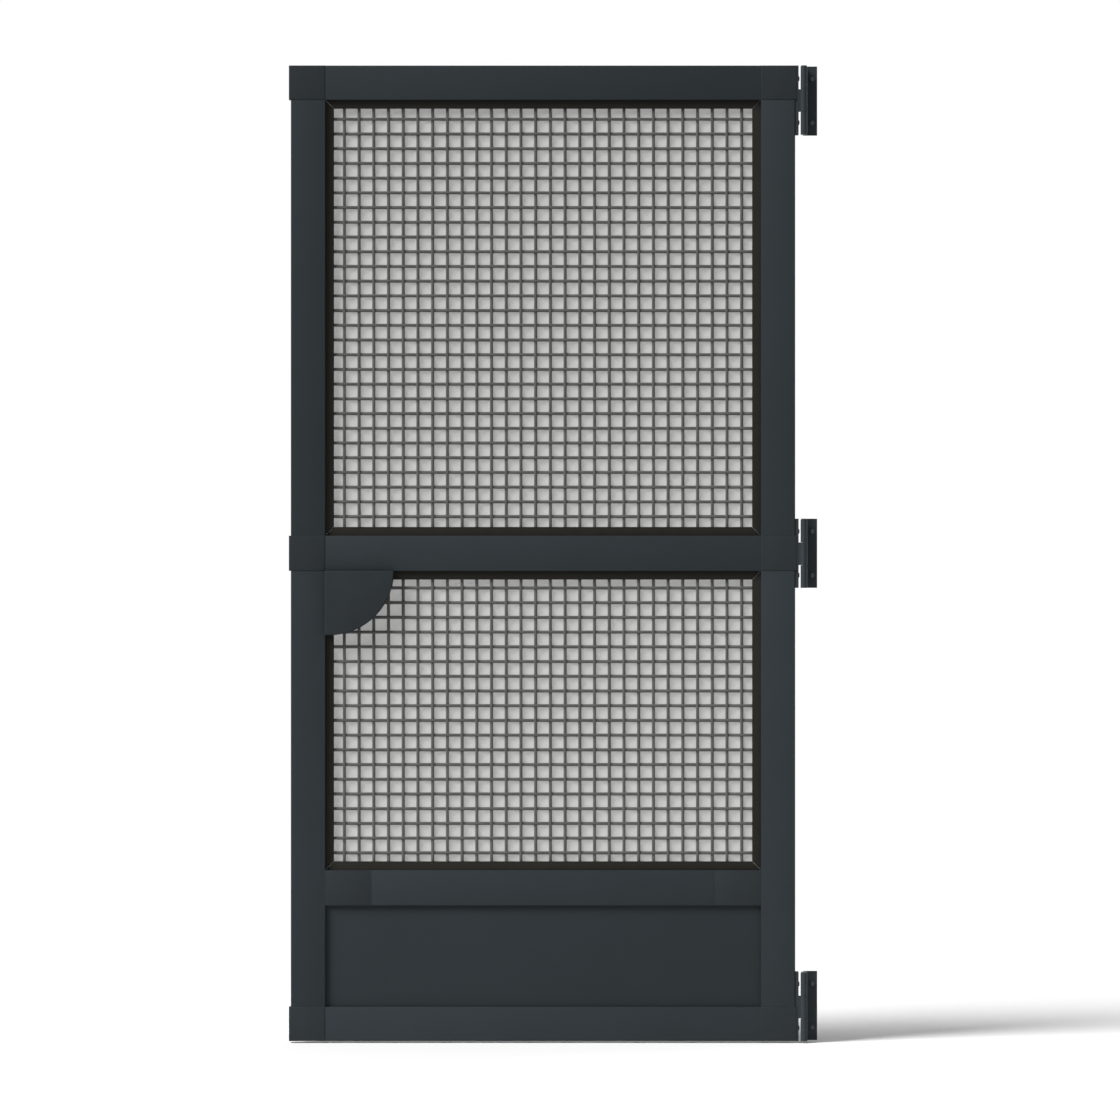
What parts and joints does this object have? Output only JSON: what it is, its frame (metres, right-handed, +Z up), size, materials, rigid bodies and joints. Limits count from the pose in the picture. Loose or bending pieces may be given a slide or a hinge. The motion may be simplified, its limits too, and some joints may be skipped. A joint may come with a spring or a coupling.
{
  "type": "hinged screen door",
  "caption": "Hinged insect screen door: aluminium profile leaf with square wire grids, fine gauze, kick plate, corner handles and butt hinges.",
  "frame": {"origin": "on the back face of the bottom hinge's fixed leaf, midway between its two screw holes", "axes": "+X to the hinge side of the door seen from the front, +Y into the wall, +Z up"},
  "size_m": [1.084, 0.054, 2],
  "materials": {
    "profile": "matt anthracite powder coat",
    "plate": "matt anthracite powder coat",
    "connector": "fine-grained anthracite moulding",
    "strip": "black soft extrusion",
    "wire": "dark grey coated wire",
    "gauze": "fine grey woven screen",
    "handle": "fine-grained anthracite moulding",
    "hinge": "matt anthracite coat",
    "pin": "dark steel"
  },
  "bodies": {
    "jamb": {"hinge_bottom_jamb_leaf": "hinge", "hinge_bottom_pin": "pin", "hinge_mid_jamb_leaf": "hinge", "hinge_mid_pin": "pin", "hinge_top_jamb_leaf": "hinge", "hinge_top_pin": "pin"},
    "door": {"corner_top_left": "connector", "corner_top_right": "connector", "corner_bottom_left": "connector", "corner_bottom_right": "connector", "mid_tee_left": "connector", "mid_tee_right": "connector", "lower_tee_left": "connector", "lower_tee_right": "connector", "stile_upper_left": "profile", "stile_upper_right": "profile", "stile_lower_left": "profile", "stile_lower_right": "profile", "rail_top": "profile", "rail_mid": "profile", "rail_lower": "profile", "rail_bottom": "profile", "kick_plate": "plate", "strip_upper_left": "strip", "strip_upper_right": "strip", "strip_upper_top": "strip", "strip_upper_bottom": "strip", "grid_upper": "wire", "gauze_upper": "gauze", "strip_lower_left": "strip", "strip_lower_right": "strip", "strip_lower_top": "strip", "strip_lower_bottom": "strip", "grid_lower": "wire", "gauze_lower": "gauze", "handle_front": "handle", "handle_back": "handle", "hinge_bottom_door_leaf": "hinge", "hinge_mid_door_leaf": "hinge", "hinge_top_door_leaf": "hinge"}
  },
  "joints": [
    {"name": "door_swing", "type": "hinge", "parent": "jamb", "child": "door", "pos_m": [-0.0175, -0.03, 0], "axis": [0, 0, 1], "range_deg": [0, 170]}
  ]
}
